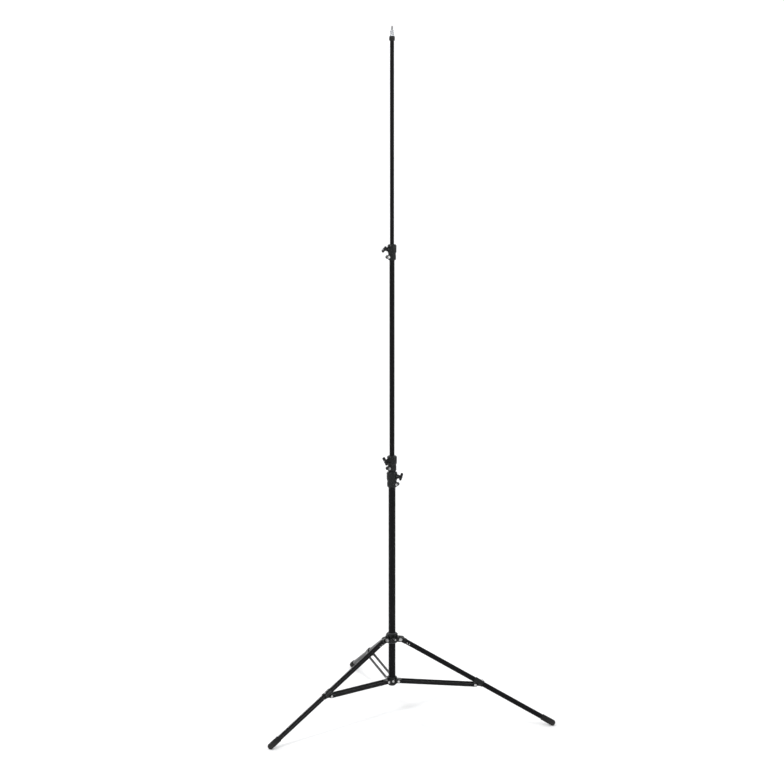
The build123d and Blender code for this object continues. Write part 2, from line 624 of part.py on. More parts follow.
def brace(number, azimuth):
    """Pair of flat strips from the spider to the leg's bracket, and their rivets."""
    pin = brace_pin_plane(azimuth)
    level = side_plane(azimuth, SPIDER_PIVOT_RADIUS, SPIDER_HEIGHT)
    reach = level.to_local_coords(pin.origin)
    slope = degrees(atan2(-reach.Y, reach.X))
    length = hypot(reach.X, reach.Y)
    plane = side_plane(azimuth, SPIDER_PIVOT_RADIUS, SPIDER_HEIGHT, 90 + slope)
    with BuildPart() as strips:
        for inner_face in (BRACE_HALF_GAP, -strip_outer):
            with BuildSketch(plane.offset(inner_face)):
                with Locations((length / 2, 0)):
                    SlotCenterToCenter(length, STRIP_WIDTH)
                Circle(BRACE_PIN_RADIUS + PIVOT_GAP, mode=Mode.SUBTRACT)
                with Locations((length, 0)):
                    Circle(BRACE_PIN_RADIUS, mode=Mode.SUBTRACT)
            extrude(amount=STRIP_THICKNESS)
    save(strips, f"brace_{number}")

    with BuildPart() as rivets:
        for rivet_plane in (pin, -pin):
            rod(rivet_plane, BRACE_PIN_RADIUS, BRACE_HALF_GAP, strip_outer)
            domed_head(rivet_plane, RIVET_HEAD_RADIUS, strip_outer, RIVET_HEAD_HEIGHT)
    save(rivets, f"brace_rivets_{number}")


for leg_number, leg_azimuth in enumerate(LEG_AZIMUTHS, start=1):
    leg_end(leg_number, leg_azimuth)
    leg_tube(leg_number, leg_azimuth)
    foot_cap(leg_number, leg_azimuth)
    leg_bracket(leg_number, leg_azimuth)
    bracket_fixings(leg_number, leg_azimuth)
    brace(leg_number, leg_azimuth)
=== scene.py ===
import bmesh
import bpy
import json
from math import atan2, cos, pi, radians, sin, tan
from mathutils import Matrix, Vector


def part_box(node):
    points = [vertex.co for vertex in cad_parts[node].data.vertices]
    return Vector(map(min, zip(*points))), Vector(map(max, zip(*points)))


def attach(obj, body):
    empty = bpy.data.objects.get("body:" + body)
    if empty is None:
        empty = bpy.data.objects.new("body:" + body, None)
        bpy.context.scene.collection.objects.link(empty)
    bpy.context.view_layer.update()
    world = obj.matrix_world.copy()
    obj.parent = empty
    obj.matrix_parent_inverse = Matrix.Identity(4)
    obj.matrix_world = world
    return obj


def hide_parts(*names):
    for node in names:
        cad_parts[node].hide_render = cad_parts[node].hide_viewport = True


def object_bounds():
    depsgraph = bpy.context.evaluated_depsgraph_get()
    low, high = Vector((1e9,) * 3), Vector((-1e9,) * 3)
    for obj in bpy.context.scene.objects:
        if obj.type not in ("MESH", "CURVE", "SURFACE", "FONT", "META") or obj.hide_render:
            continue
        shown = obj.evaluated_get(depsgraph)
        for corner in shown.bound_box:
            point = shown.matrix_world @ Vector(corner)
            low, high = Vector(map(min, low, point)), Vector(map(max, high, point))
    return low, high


# Looks for a folding light stand: black coated tubes, moulded collars and hub, T-knobs, rubber
# feet and zinc-plated fasteners, on a pale studio sweep. Metres, the CAD model's own frame.
# Shapes are given in millimetres and scaled by MM.

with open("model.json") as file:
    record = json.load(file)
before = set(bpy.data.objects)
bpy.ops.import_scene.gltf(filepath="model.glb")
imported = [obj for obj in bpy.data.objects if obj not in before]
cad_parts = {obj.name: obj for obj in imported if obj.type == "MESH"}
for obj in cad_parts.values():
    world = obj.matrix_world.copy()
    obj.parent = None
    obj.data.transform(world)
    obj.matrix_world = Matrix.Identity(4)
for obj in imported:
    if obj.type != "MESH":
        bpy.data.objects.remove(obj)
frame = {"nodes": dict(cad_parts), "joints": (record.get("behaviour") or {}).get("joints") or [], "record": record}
CAD_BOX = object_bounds()
NODES = frame["nodes"]
JOINTS = {joint["name"]: joint for joint in frame["joints"]}
MOUNTS = {mount["name"]: mount for mount in frame["record"]["mounts"]}
MM = 0.001

# Camera: where the photographer stood, at about the height of the stand's top
CAMERA_DISTANCE = 8.76
CAMERA_HEIGHT = 2.78
CAMERA_REACH = 100.0
FRAME_MARGIN = 1.07
SENSOR_WIDTH = 36.0
FRAME_WIDTH, FRAME_HEIGHT = 784, 776


# ------------------------------------------------------------------ materials
NOISE_SPAN = (0.3, 0.7)  # where nearly all of a noise's values lie
MIX_FIRST, MIX_SECOND, MIX_RESULT = 6, 7, 2  # colour sockets of a Mix node
BEVEL_SAMPLES = 6


class Finish:
    """A node material on a Principled shader, built up from noises in object space."""

    def __init__(self, name, roughness, metallic=0.0, specular=0.5):
        self.material = bpy.data.materials.new(name)
        self.material.use_nodes = True
        self.tree = self.material.node_tree
        self.shader = self.tree.nodes["Principled BSDF"]
        self.shader.inputs["Roughness"].default_value = roughness
        self.shader.inputs["Metallic"].default_value = metallic
        self.shader.inputs["Specular IOR Level"].default_value = specular
        self.place = self.tree.nodes.new("ShaderNodeTexCoord").outputs["Object"]
        self.normal = None

    def join(self, start, end):
        self.tree.links.new(start, end)

    def noise(self, scale, detail=3.0, stretch=(1, 1, 1), distortion=0.0):
        """Noise in object space, drawn out along the axes whose stretch is small."""
        mapping = self.tree.nodes.new("ShaderNodeMapping")
        mapping.inputs["Scale"].default_value = stretch
        self.join(self.place, mapping.inputs["Vector"])
        node = self.tree.nodes.new("ShaderNodeTexNoise")
        node.inputs["Scale"].default_value = scale
        node.inputs["Detail"].default_value = detail
        node.inputs["Distortion"].default_value = distortion
        self.join(mapping.outputs["Vector"], node.inputs["Vector"])
        return node.outputs["Fac"]

    def distance(self):
        """Distance from the row frame's origin, as a socket."""
        node = self.tree.nodes.new("ShaderNodeVectorMath")
        node.operation = "LENGTH"
        self.join(self.place, node.inputs[0])
        return node.outputs["Value"]

    def height(self):
        """Height above the floor, as a socket."""
        node = self.tree.nodes.new("ShaderNodeSeparateXYZ")
        self.join(self.place, node.inputs[0])
        return node.outputs["Z"]

    def remap(self, value, low, high, to_low, to_high):
        node = self.tree.nodes.new("ShaderNodeMapRange")
        node.inputs["From Min"].default_value = low
        node.inputs["From Max"].default_value = high
        node.inputs["To Min"].default_value = to_low
        node.inputs["To Max"].default_value = to_high
        self.join(value, node.inputs["Value"])
        return node.outputs["Result"]

    def times(self, first, second):
        node = self.tree.nodes.new("ShaderNodeMath")
        node.operation = "MULTIPLY"
        self.join(first, node.inputs[0])
        self.join(second, node.inputs[1])
        return node.outputs[0]

    def blend(self, factor, first, second):
        """Colour between two colours, each a tuple or a socket."""
        node = self.tree.nodes.new("ShaderNodeMix")
        node.data_type = "RGBA"
        self.join(factor, node.inputs["Factor"])
        for index, colour in ((MIX_FIRST, first), (MIX_SECOND, second)):
            if isinstance(colour, tuple):
                node.inputs[index].default_value = (*colour, 1.0)
            else:
                self.join(colour, node.inputs[index])
        return node.outputs[MIX_RESULT]

    def colour(self, socket):
        self.join(socket, self.shader.inputs["Base Color"])

    def roughness(self, pattern, smooth, rough):
        """Roughness that follows a noise from smooth to rough."""
        self.join(self.remap(pattern, *NOISE_SPAN, smooth, rough), self.shader.inputs["Roughness"])

    def soft_edges(self, radius):
        """Catches the light along edges as a small rounding does."""
        node = self.tree.nodes.new("ShaderNodeBevel")
        node.samples = BEVEL_SAMPLES
        node.inputs["Radius"].default_value = radius
        self.normal = node.outputs["Normal"]
        self.join(self.normal, self.shader.inputs["Normal"])

    def bump(self, socket, depth, strength=1.0):
        node = self.tree.nodes.new("ShaderNodeBump")
        node.inputs["Distance"].default_value = depth
        node.inputs["Strength"].default_value = strength
        self.join(socket, node.inputs["Height"])
        if self.normal:
            self.join(self.normal, node.inputs["Normal"])
        self.normal = node.outputs["Normal"]
        self.join(self.normal, self.shader.inputs["Normal"])


def coated_tube():
    """Black coated aluminium, with fine rub marks along the tube."""
    dark, light, rubbed = (0.0014, 0.0014, 0.0017), (0.0036, 0.0036, 0.0041), (0.02, 0.02, 0.022)
    finish = Finish("coated_tube", 0.2, specular=0.09)
    black = finish.blend(finish.noise(scale=9, detail=4), dark, light)
    rubs = finish.noise(scale=260, detail=5, stretch=(1, 1, 0.03))
    worn = finish.remap(rubs, low=0.62, high=0.8, to_low=0.0, to_high=0.5)
    finish.colour(finish.blend(worn, black, rubbed))
    finish.roughness(rubs, smooth=0.14, rough=0.26)
    finish.bump(finish.noise(scale=1400, detail=2), depth=0.04 * MM)
    return finish.material


def moulding(name, roughness, specular, grain, dark, light):
    """Moulded black plastic with a spark-eroded grain."""
    finish = Finish(name, roughness, specular=specular)
    finish.soft_edges(0.6 * MM)
    finish.colour(finish.blend(finish.noise(scale=30, detail=5), dark, light))
    sheen = finish.noise(scale=120, detail=4)
    finish.roughness(sheen, smooth=roughness - 0.07, rough=roughness + 0.08)
    finish.bump(finish.noise(scale=2200, detail=3), depth=grain)
    return finish.material


def rubber():
    """Black rubber, greyed by dust near the floor."""
    black, dusty = (0.005, 0.005, 0.005), (0.06, 0.057, 0.054)
    finish = Finish("foot_rubber", 0.8, specular=0.2)
    finish.soft_edges(0.5 * MM)
    near_floor = finish.remap(finish.height(), low=0.0, high=30 * MM, to_low=0.8, to_high=0.0)
    dust = finish.times(near_floor, finish.noise(scale=160, detail=6))
    finish.colour(finish.blend(dust, black, dusty))
    finish.roughness(finish.noise(scale=90, detail=4), smooth=0.68, rough=0.88)
    finish.bump(finish.noise(scale=900, detail=4), depth=0.12 * MM)
    return finish.material


def zinc_steel():
    """Zinc-plated steel: slightly mottled, finely scratched."""
    dark, light = (0.3, 0.3, 0.31), (0.5, 0.5, 0.49)
    finish = Finish("zinc_steel", 0.3, metallic=1.0)
    finish.soft_edges(0.4 * MM)
    finish.colour(finish.blend(finish.noise(scale=140, detail=5), dark, light))
    finish.roughness(finish.noise(scale=500, detail=4), smooth=0.2, rough=0.42)
    finish.bump(finish.noise(scale=1800, detail=3), depth=0.05 * MM)
    return finish.material


def plated_spigot():
    """Plated steel with the rings that turning leaves."""
    dark, light = (0.33, 0.34, 0.36), (0.45, 0.46, 0.47)
    finish = Finish("plated_spigot", 0.16, metallic=1.0)
    finish.soft_edges(0.4 * MM)
    finish.colour(finish.blend(finish.noise(scale=60, detail=3), dark, light))
    rings = finish.noise(scale=900, detail=2, stretch=(0.02, 0.02, 1))
    finish.roughness(rings, smooth=0.1, rough=0.26)
    finish.bump(rings, depth=0.03 * MM)
    return finish.material


def coated_strip():
    """Black coated steel strip with a few small chips to the metal."""
    dark, light, bare = (0.002, 0.002, 0.0023), (0.005, 0.005, 0.0055), (0.16, 0.16, 0.165)
    finish = Finish("coated_strip", 0.3, specular=0.1)
    finish.soft_edges(0.5 * MM)
    black = finish.blend(finish.noise(scale=14, detail=4), dark, light)
    spots = finish.noise(scale=330, detail=4, distortion=0.6)
    chips = finish.remap(spots, low=0.71, high=0.74, to_low=0.0, to_high=1.0)
    finish.colour(finish.blend(chips, black, bare))
    finish.roughness(finish.noise(scale=220, detail=4), smooth=0.3, rough=0.44)
    finish.bump(finish.noise(scale=1100, detail=3), depth=0.06 * MM)
    return finish.material


def nylon():
    """Dark grey nylon, a little waxy."""
    dark, light = (0.025, 0.026, 0.028), (0.045, 0.046, 0.05)
    finish = Finish("liner_nylon", 0.45)
    finish.soft_edges(0.3 * MM)
    finish.colour(finish.blend(finish.noise(scale=50, detail=3), dark, light))
    finish.roughness(finish.noise(scale=300, detail=3), smooth=0.4, rough=0.55)
    finish.bump(finish.noise(scale=1500, detail=2), depth=0.04 * MM)
    return finish.material


def sweep_paper():
    """Pale studio paper, slightly fibrous, brighter away from the lit middle: painted light that makes up for the
    lamps' fall-off.
    """
    dark, light, far = (0.79, 0.79, 0.79), (0.82, 0.82, 0.818), (0.97, 0.97, 0.97)
    finish = Finish("sweep_paper", 0.75, specular=0.25)
    paper = finish.blend(finish.noise(scale=1.2, detail=4), dark, light)
    # Painted light: the paper turns paler from 1.5 m to 6 m out, where less lamp light falls, so the far floor
    # renders as white as the backdrop.
    away = finish.remap(finish.distance(), low=1.5, high=6.0, to_low=0.0, to_high=1.0)
    finish.colour(finish.blend(away, paper, far))
    finish.roughness(finish.noise(scale=3, detail=4), smooth=0.68, rough=0.8)
    finish.bump(finish.noise(scale=260, detail=3), depth=0.1 * MM, strength=0.4)
    return finish.material


FINISHES = {
    "tube_black": coated_tube(),
    "moulding_black": moulding(
        "moulding_black",
        roughness=0.26,
        specular=0.19,
        grain=0.06 * MM,
        dark=(0.0026, 0.0031, 0.003),
        light=(0.0062, 0.0072, 0.007),
    ),
    "knob_black": moulding(
        "knob_black",
        roughness=0.36,
        specular=0.16,
        grain=0.1 * MM,
        dark=(0.0026, 0.0026, 0.0029),
        light=(0.006, 0.006, 0.0064),
    ),
    "strip_black": coated_strip(),
    "liner_grey": nylon(),
    "rubber_black": rubber(),
    "steel": zinc_steel(),
    "spigot_steel": plated_spigot(),
}


def set_finish(piece, slot):
    """Gives a piece the finish of one of the record's material slots."""
    piece.data.materials.clear()
    piece.data.materials.append(FINISHES[slot])


for part in frame["record"]["subparts"]:
    set_finish(NODES[part["node"]], part["material_slot"])


# ------------------------------------------------------------- mesh building
SHARP_ANGLE = radians(38)
RIB_FADE = radians(5)  # over which a rib dies away beside a gap
RIB_SHARPNESS = 0.6
RIB_ROOT = 0.3  # how far the valleys between ribs lie inside the part
BEAD_ROOT = 1.0  # how far a bead reaches into the part
BEAD_PROUD = 0.8  # how far a bead stands out, as a share of its half height
THREAD_DEPTH = 0.55  # share of the pitch
THREAD_ROWS = 6  # rings of points in one turn
WASHER_LIP, WASHER_THICKNESS, WASHER_TOP = 0.9, 0.8, 1.0
HEAD_CHAMFER = 0.9
HEAD_FLAT = 0.84  # radius of a head's flat end, as a share of its corner radius
DOME_RIM = 0.25  # share of a rivet head's height that is upright


def mesh_object(name, vertices, faces):
    """New smooth-shaded mesh object in the scene, its faces turned outwards."""
    mesh = bpy.data.meshes.new(name)
    mesh.from_pydata([tuple(v) for v in vertices], [], faces)
    work = bmesh.new()
    work.from_mesh(mesh)
    bmesh.ops.recalc_face_normals(work, faces=work.faces)
    work.to_mesh(mesh)
    work.free()
    mesh.shade_smooth()
    piece = bpy.data.objects.new(name, mesh)
    bpy.context.scene.collection.objects.link(piece)
    return piece


def axis_frame(origin, axis, across):
    """Matrix that puts local z on the axis and local x as near to across as it can."""
    z_axis = Vector(axis).normalized()
    x_axis = (Vector(across) - z_axis * z_axis.dot(Vector(across))).normalized()
    y_axis = z_axis.cross(x_axis)
    frame_matrix = Matrix((x_axis, y_axis, z_axis)).transposed().to_4x4()
    frame_matrix.translation = Vector(origin)
    return frame_matrix


def joint_frame(name):
    """Frame on a joint's axis, with x as near to upright as it can be."""
    return axis_frame(JOINTS[name]["pos_m"], JOINTS[name]["axis"], (0, 0, 1))


def turned_over(place):
    """The same frame with its z axis pointing the other way."""
    return place @ Matrix.Rotation(pi, 4, "X")


def column_frame(height):
    """Upright frame on the column's axis; height in metres."""
    return Matrix.Translation((0, 0, height))


def heading(direction):
    """Angle of a level direction, from +X towards +Y."""
    return atan2(direction[1], direction[0])


def hexagonal(angle):
    """Outline of a hexagon, as a share of its corner radius."""
    return cos(pi / 6) / cos(angle % (pi / 3) - pi / 6)


def grooved(count, depth):
    """Outline of a circle with rounded grooves along it; depth is a share of its radius."""
    def outline(angle):
        return 1 - depth * max(0.0, cos(count * angle))
    return outline


def comb(angle, count, gaps):
    """Rounded ribs round a ring, 0 to 1, fading out beside each gap (middle, half width)."""
    wave = max(0.0, cos(count * angle)) ** RIB_SHARPNESS
    for middle, half in gaps:
        away = abs((angle - middle + pi) % (2 * pi) - pi)
        wave *= min(1.0, max(0.0, (away - half) / RIB_FADE))
    return wave


class Shape:
    """Vertices and faces of one piece, in the row frame. Sizes are in millimetres."""

    def __init__(self):
        self.vertices = []
        self.faces = []

    def skin(self, rings, closed=False):
        """Surface over rings of points; closed joins the last ring to the first."""
        first, count, rows = len(self.vertices), len(rings[0]), len(rings)
        for ring in rings:
            self.vertices.extend(ring)
        for row in range(rows if closed else rows - 1):
            here, there = first + row * count, first + (row + 1) % rows * count
            for i in range(count):
                j = (i + 1) % count
                self.faces.append((here + i, here + j, there + j, there + i))
        if not closed:
            last = first + (rows - 1) * count
            self.faces.append(tuple(range(first + count - 1, first - 1, -1)))
            self.faces.append(tuple(range(last, last + count)))

    def lathe(self, place, profile, segments=48, closed=False):
        """Turned shape; a profile entry is (radius, height) or (radius, height, outline)."""
        rings = []
        for radius, height, *outline in profile:
            ring = []
            for step in range(segments):
                angle = 2 * pi * step / segments
                reach = radius * outline[0](angle) if outline else radius
                spot = Vector((reach * cos(angle), reach * sin(angle), height))
                ring.append(place @ (spot * MM))
            rings.append(ring)
        self.skin(rings, closed)

    def thread(self, place, radius, start, end, pitch, segments=32):
        """Screw thread with a chamfer at its far end."""
        depth = THREAD_DEPTH * pitch
        rows = int((end - start) / pitch * THREAD_ROWS)
        rings = []
        for row in range(rows + 1):
            height = start + (end - start) * row / rows
            crest = min(radius, radius - depth + max(0.0, end - height))
            ring = []
            for step in range(segments):
                turn = (height / pitch - step / segments) % 1.0
                reach = min(crest, radius - depth * abs(2 * turn - 1))
                angle = 2 * pi * step / segments
                spot = Vector((reach * cos(angle), reach * sin(angle), height))
                ring.append(place @ (spot * MM))
            rings.append(ring)
        self.skin(rings)

    def hex_head(self, place, radius, start, height):
        """Hexagon head or nut with its corners turned down, on a thin washer."""
        end = start + height
        self.lathe(place, [
            (radius + WASHER_LIP, start),
            (radius + WASHER_LIP, start + WASHER_THICKNESS),
            (radius, start + WASHER_TOP),
        ])
        self.lathe(place, [
            (radius, start + WASHER_LIP, hexagonal),
            (radius, end - HEAD_CHAMFER, hexagonal),
            (HEAD_FLAT * radius, end),
            (0.5 * radius, end),
        ])

    def dome(self, place, radius, start, height, steps=7):
        """Rounded rivet head."""
        profile = [(radius, start)]
        for step in range(steps):
            angle = 0.5 * pi * step / steps
            rise = DOME_RIM + (1 - DOME_RIM) * sin(angle)
            profile.append((radius * cos(angle), start + height * rise))
        self.lathe(place, profile, segments=28)

    def bead(self, place, radius, height, thickness, steps=8):
        """Rounded ring moulded round a part; thickness is half its height."""
        profile = [(radius - BEAD_ROOT, height - thickness)]
        for step in range(steps + 1):
            angle = pi * (step / steps - 0.5)
            proud = BEAD_PROUD * thickness * cos(angle)
            profile.append((radius + proud, height + thickness * sin(angle)))
        profile.append((radius - BEAD_ROOT, height + thickness))
        self.lathe(place, profile, segments=96, closed=True)

    def rib_band(self, place, radius, sink, heights, rib, count, gaps=()):
        """Band of upright ribs; rib is their height from the valleys, sink its back's depth."""
        def ribbed(angle):
            return 1 + (rib * comb(angle, count, gaps) - RIB_ROOT) / radius

        start, full, fading, end = heights
        self.lathe(place, [
            (radius - sink, start),
            (radius - RIB_ROOT, start),
            (radius, full, ribbed),
            (radius, fading, ribbed),
            (radius - RIB_ROOT, end),
            (radius - sink, end),
        ], segments=144, closed=True)

    def piece(self, name, body, slot, *replaced):
        """The finished object, riding on its body and standing for any replaced nodes."""
        made = mesh_object(name, self.vertices, self.faces)
        made.data.set_sharp_from_angle(angle=SHARP_ANGLE)
        set_finish(made, slot)
        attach(made, body)
        if replaced:
            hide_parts(*replaced)
        return made


# ------------------------------------------------------------------- T-knobs
# Shares are of the bar's half length, from its middle to its tip
KNOB_HALF_LENGTH = 18.0
KNOB_HALF_WIDTH = 6.1
KNOB_WAIST = 0.24  # share of the width that the waist takes away
KNOB_WAIST_END = 0.8
KNOB_GRIP_START, KNOB_GRIP_END = 0.42, 0.88
KNOB_GRIP_DEPTH, KNOB_GRIP_PITCH = 0.22, 2.6
KNOB_TIP_START = 0.78
KNOB_TIP_CURVE = 2.2
KNOB_TIP_DEPTH = 0.35  # share of the depth that is left at a tip
KNOB_LEAST = 0.4  # half width and half depth at the very tips
KNOB_SWEEP = 1.4  # how far the tips bend away from the screw
KNOB_FACE_FALL = 1.2
KNOB_BAR_START = 4.0
KNOB_SQUARENESS = 0.55
KNOB_ROWS = 72


def knob_frame(joint, node):
    """Frame on a lock screw with x along its knob's bar, and the knob's two ends on it."""
    flat = joint_frame(joint)
    local = [flat.inverted() @ vertex.co for vertex in NODES[node].data.vertices]
    cross = sum(p.x * p.y for p in local)
    spread = sum(p.x * p.x - p.y * p.y for p in local)
    turned = flat @ Matrix.Rotation(0.5 * atan2(2 * cross, spread), 4, "Z")
    heights = [p.z / MM for p in local]
    return turned, min(heights), max(heights)


def squared(value):
    """Sine or cosine pushed outwards, which makes an ellipse a rounded rectangle."""
    return abs(value) ** KNOB_SQUARENESS * (1 if value > 0 else -1)


def knob_section(place, along, half_width, middle, half_depth, points=28):
    """Rounded-rectangle section of a knob's bar."""
    ring = []
    for step in range(points):
        angle = 2 * pi * step / points
        width = half_width * squared(cos(angle))
        depth = half_depth * squared(sin(angle))
        ring.append(place @ (Vector((along, width, middle + depth)) * MM))
    return ring


def knob_bar(place, low, high):
    """Sections of a bar with a waist, ribbed grips and rounded tips."""
    sections = []
    for row in range(KNOB_ROWS + 1):
        along = -KNOB_HALF_LENGTH * cos(pi * row / KNOB_ROWS)
        share = abs(along) / KNOB_HALF_LENGTH
        tip = max(0.0, (share - KNOB_TIP_START) / (1 - KNOB_TIP_START))
        rounding = max(0.0, 1 - tip**KNOB_TIP_CURVE) ** 0.5
        waist = 1 - KNOB_WAIST * sin(pi * min(1.0, share / KNOB_WAIST_END)) ** 2
        grip = 0.0
        if KNOB_GRIP_START < share < KNOB_GRIP_END:
            grip = KNOB_GRIP_DEPTH * cos(2 * pi * along / KNOB_GRIP_PITCH)
        half_width = max(KNOB_LEAST, (KNOB_HALF_WIDTH * waist + grip) * rounding)
        inner = low + KNOB_BAR_START + KNOB_SWEEP * share**2
        outer = high - KNOB_FACE_FALL * share
        thinning = KNOB_TIP_DEPTH + (1 - KNOB_TIP_DEPTH) * rounding
        half_depth = max(KNOB_LEAST, (outer - inner) / 2 * thinning)
        sections.append(knob_section(place, along, half_width, (inner + outer) / 2, half_depth))
    return sections


def build_knob(name, joint, node, body):
    """T-knob: waisted bar with a ribbed grip, fluted stem, and the screw's end in its face."""
    place, low, high = knob_frame(joint, node)
    flutes = grooved(count=10, depth=0.07)
    shape = Shape()
    shape.skin(knob_bar(place, low, high))
    shape.lathe(place, [
        (5.2, low),
        (6.0, low + 0.5, flutes),
        (6.5, low + 2.2, flutes),
        (6.3, low + 5.0, flutes),
        (4.0, low + 6.0),
    ], segments=60)
    shape.piece(name, body, "knob_black", node)

    insert = Shape()
    insert.lathe(place, [
        (3.1, high - 1.5),
        (3.1, high + 0.15),
        (2.7, high + 0.35),
        (1.3, high + 0.35),
        (0.9, high - 0.1),
    ], segments=36)
    insert.piece(f"{name}_screw_end", body, "steel")


for number in (1, 2, 3):
    build_knob(f"t_knob_{number}", f"lock_{number}_turn", f"lock_knob_{number}", f"lock_{number}")
build_knob("t_knob_hub", "hub_lock_turn", "hub_knob", "hub_lock")


# ------------------------------------------------------------ clamp collars
COLLARS = (
    (1, "base", "base_tube"),
    (2, "riser_1", "riser_tube_1"),
    (3, "riser_2", "riser_tube_2"),
)
SKIRT_WALL, SWELL_WALL = 4.5, 7.5  # from the tube's surface to the collar's
SKIRT_RIBS = (3.0, 4.2, 20.0, 22.0)  # start, full, fading and end above the collar's foot
SKIRT_GAP = radians(34)  # half the gap in the ribs at the split lug
SKIRT_BEAD, SWELL_BEAD = 24.3, 52.5
CLAMP_OFFSET = 7.5  # from the tube's surface to the clamp screw's axis
CLAMP_HEIGHT = 12.5


def tube_radius(tube):
    """Outer radius of an upright tube, in millimetres."""
    low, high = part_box(tube)
    return (high.x - low.x) / 2 / MM


def build_collar_trim(number, body, tube):
    """Grip ribs on a collar's skirt and beads round its swelling."""
    place = column_frame(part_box(f"collar_{number}")[0].z)
    outward = heading(JOINTS[f"lock_{number}_turn"]["axis"])
    skirt, swell = tube_radius(tube) + SKIRT_WALL, tube_radius(tube) + SWELL_WALL
    gaps = [(outward, SKIRT_GAP)]
    shape = Shape()
    shape.rib_band(place, skirt, sink=1.2, heights=SKIRT_RIBS, rib=1.17, count=24, gaps=gaps)
    shape.bead(place, skirt, SKIRT_BEAD, thickness=0.9)
    shape.bead(place, swell - 0.1, SWELL_BEAD, thickness=0.7)
    shape.piece(f"collar_ribs_{number}", body, "moulding_black")


def build_clamp_bolt(number, body, tube):
    """Socket-head screw through a collar's lug, with its nut."""
    outward = Vector(JOINTS[f"lock_{number}_turn"]["axis"])
    middle = outward * (tube_radius(tube) + CLAMP_OFFSET) * MM
    middle.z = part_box(f"collar_{number}")[0].z + CLAMP_HEIGHT * MM
    place = axis_frame(middle, Vector((0, 0, 1)).cross(outward), outward)
    knurl = grooved(count=24, depth=0.035)
    shape = Shape()
    shape.lathe(place, [
        (2.5, 7.0),
        (2.5, -7.5),
        (4.7, -7.5, knurl),
        (4.7, -10.9, knurl),
        (4.2, -11.5),
        (2.6, -11.5, hexagonal),
        (2.5, -9.3, hexagonal),
        (0.3, -9.0),
    ], segments=96)
    shape.hex_head(place, radius=4.5, start=7.5, height=4.0)
    shape.thread(place, radius=2.45, start=11.0, end=13.5, pitch=0.8)
    shape.piece(f"clamp_screw_{number}", body, "steel", f"clamp_bolt_{number}")


for number, body, tube in COLLARS:
    build_collar_trim(number, body, tube)
    build_clamp_bolt(number, body, tube)


# --------------------------------------------------------------- top fitting
STUD_RADIUS, STUD_NECK, STUD_PITCH = 4.75, 4.1, 1.59
CAP_RADIUS = 10.5


def build_top():
    """Threaded stud on the spigot and grip ribs round the cap."""
    low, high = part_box("spigot_stud")
    place = column_frame(low.z)
    stud = Shape()
    stud.lathe(place, [(STUD_NECK, -0.5), (STUD_NECK, 1.6), (STUD_RADIUS, 1.9)])
    stud.thread(place, STUD_RADIUS, start=1.2, end=(high.z - low.z) / MM, pitch=STUD_PITCH)
    stud.piece("stud_thread", "riser_3", "steel", "spigot_stud")

    low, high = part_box("top_cap")
    top = (high.z - low.z) / MM
    heights = (2.0, 3.0, top - 4.0, top - 3.0)
    cap = Shape()
    cap.rib_band(column_frame(low.z), CAP_RADIUS, sink=0.9, heights=heights, rib=0.715, count=28)
    cap.piece("cap_ribs", "riser_3", "moulding_black")


build_top()


# -------------------------------------------------------------- hub and spider
HUB_RADIUS = 23.0
HUB_RIBS = (-11.0, -9.8, 14.5, 16.0)  # start, full, fading and end from the leg hinges
HUB_BEADS = (17.4, -12.2)
CHEEK_GAP, KNOB_GAP = radians(31), radians(24)  # half the gaps in the ribs
PIVOT_RADIUS = 4.0
PIVOT_GRIP = 11.5  # half the length of a pivot bolt between its head and nut
SPIDER_RADIUS = 19.9
SPIDER_BEADS = (12.6, -11.6)  # heights from the brace hinges


def build_hub_trim():
    """Beads and stiffening ribs on the leg hub, between its pairs of cheeks."""
    place = column_frame(JOINTS["leg_1_hinge"]["pos_m"][2])
    gaps = [(heading(JOINTS[f"leg_{i}_hinge"]["pos_m"]), CHEEK_GAP) for i in (1, 2, 3)]
    gaps.append((heading(JOINTS["hub_lock_turn"]["axis"]), KNOB_GAP))
    shape = Shape()
    shape.rib_band(place, HUB_RADIUS, sink=1.4, heights=HUB_RIBS, rib=1.43, count=36, gaps=gaps)
    for height in HUB_BEADS:
        shape.bead(place, HUB_RADIUS - 0.1, height, thickness=0.9)
    shape.piece("hub_ribs", "hub", "moulding_black")


def build_pivot_bolts():
    """Bolts with nuts that hinge the legs on the hub."""
    shape = Shape()
    for i in (1, 2, 3):
        pivot = joint_frame(f"leg_{i}_hinge")
        shape.lathe(pivot, [(PIVOT_RADIUS, -PIVOT_GRIP), (PIVOT_RADIUS, PIVOT_GRIP)])
        shape.hex_head(pivot, radius=6.4, start=PIVOT_GRIP - 0.2, height=4.6)
        shape.hex_head(turned_over(pivot), radius=6.4, start=PIVOT_GRIP - 0.2, height=5.2)
        shape.thread(pivot, PIVOT_RADIUS - 0.1, start=15.0, end=17.8, pitch=1.1)
    shape.piece("pivot_bolts", "hub", "steel", "leg_pivot_bolts")


def build_spider_trim():
    """Beads round the brace spider's ring and bosses on its arms' cheeks."""
    place = column_frame(JOINTS["brace_1_hinge"]["pos_m"][2])
    boss = [(7.6, 11.0), (7.6, 12.1), (7.2, 12.35), (3.2, 12.35)]
    shape = Shape()
    for height in SPIDER_BEADS:
        shape.bead(place, SPIDER_RADIUS, height, thickness=0.9)
    for i in (1, 2, 3):
        pivot = joint_frame(f"brace_{i}_hinge")
        shape.lathe(pivot, boss, segments=40)
        shape.lathe(turned_over(pivot), boss, segments=40)
    shape.piece("spider_beads", "base", "moulding_black")


build_hub_trim()
build_pivot_bolts()
build_spider_trim()


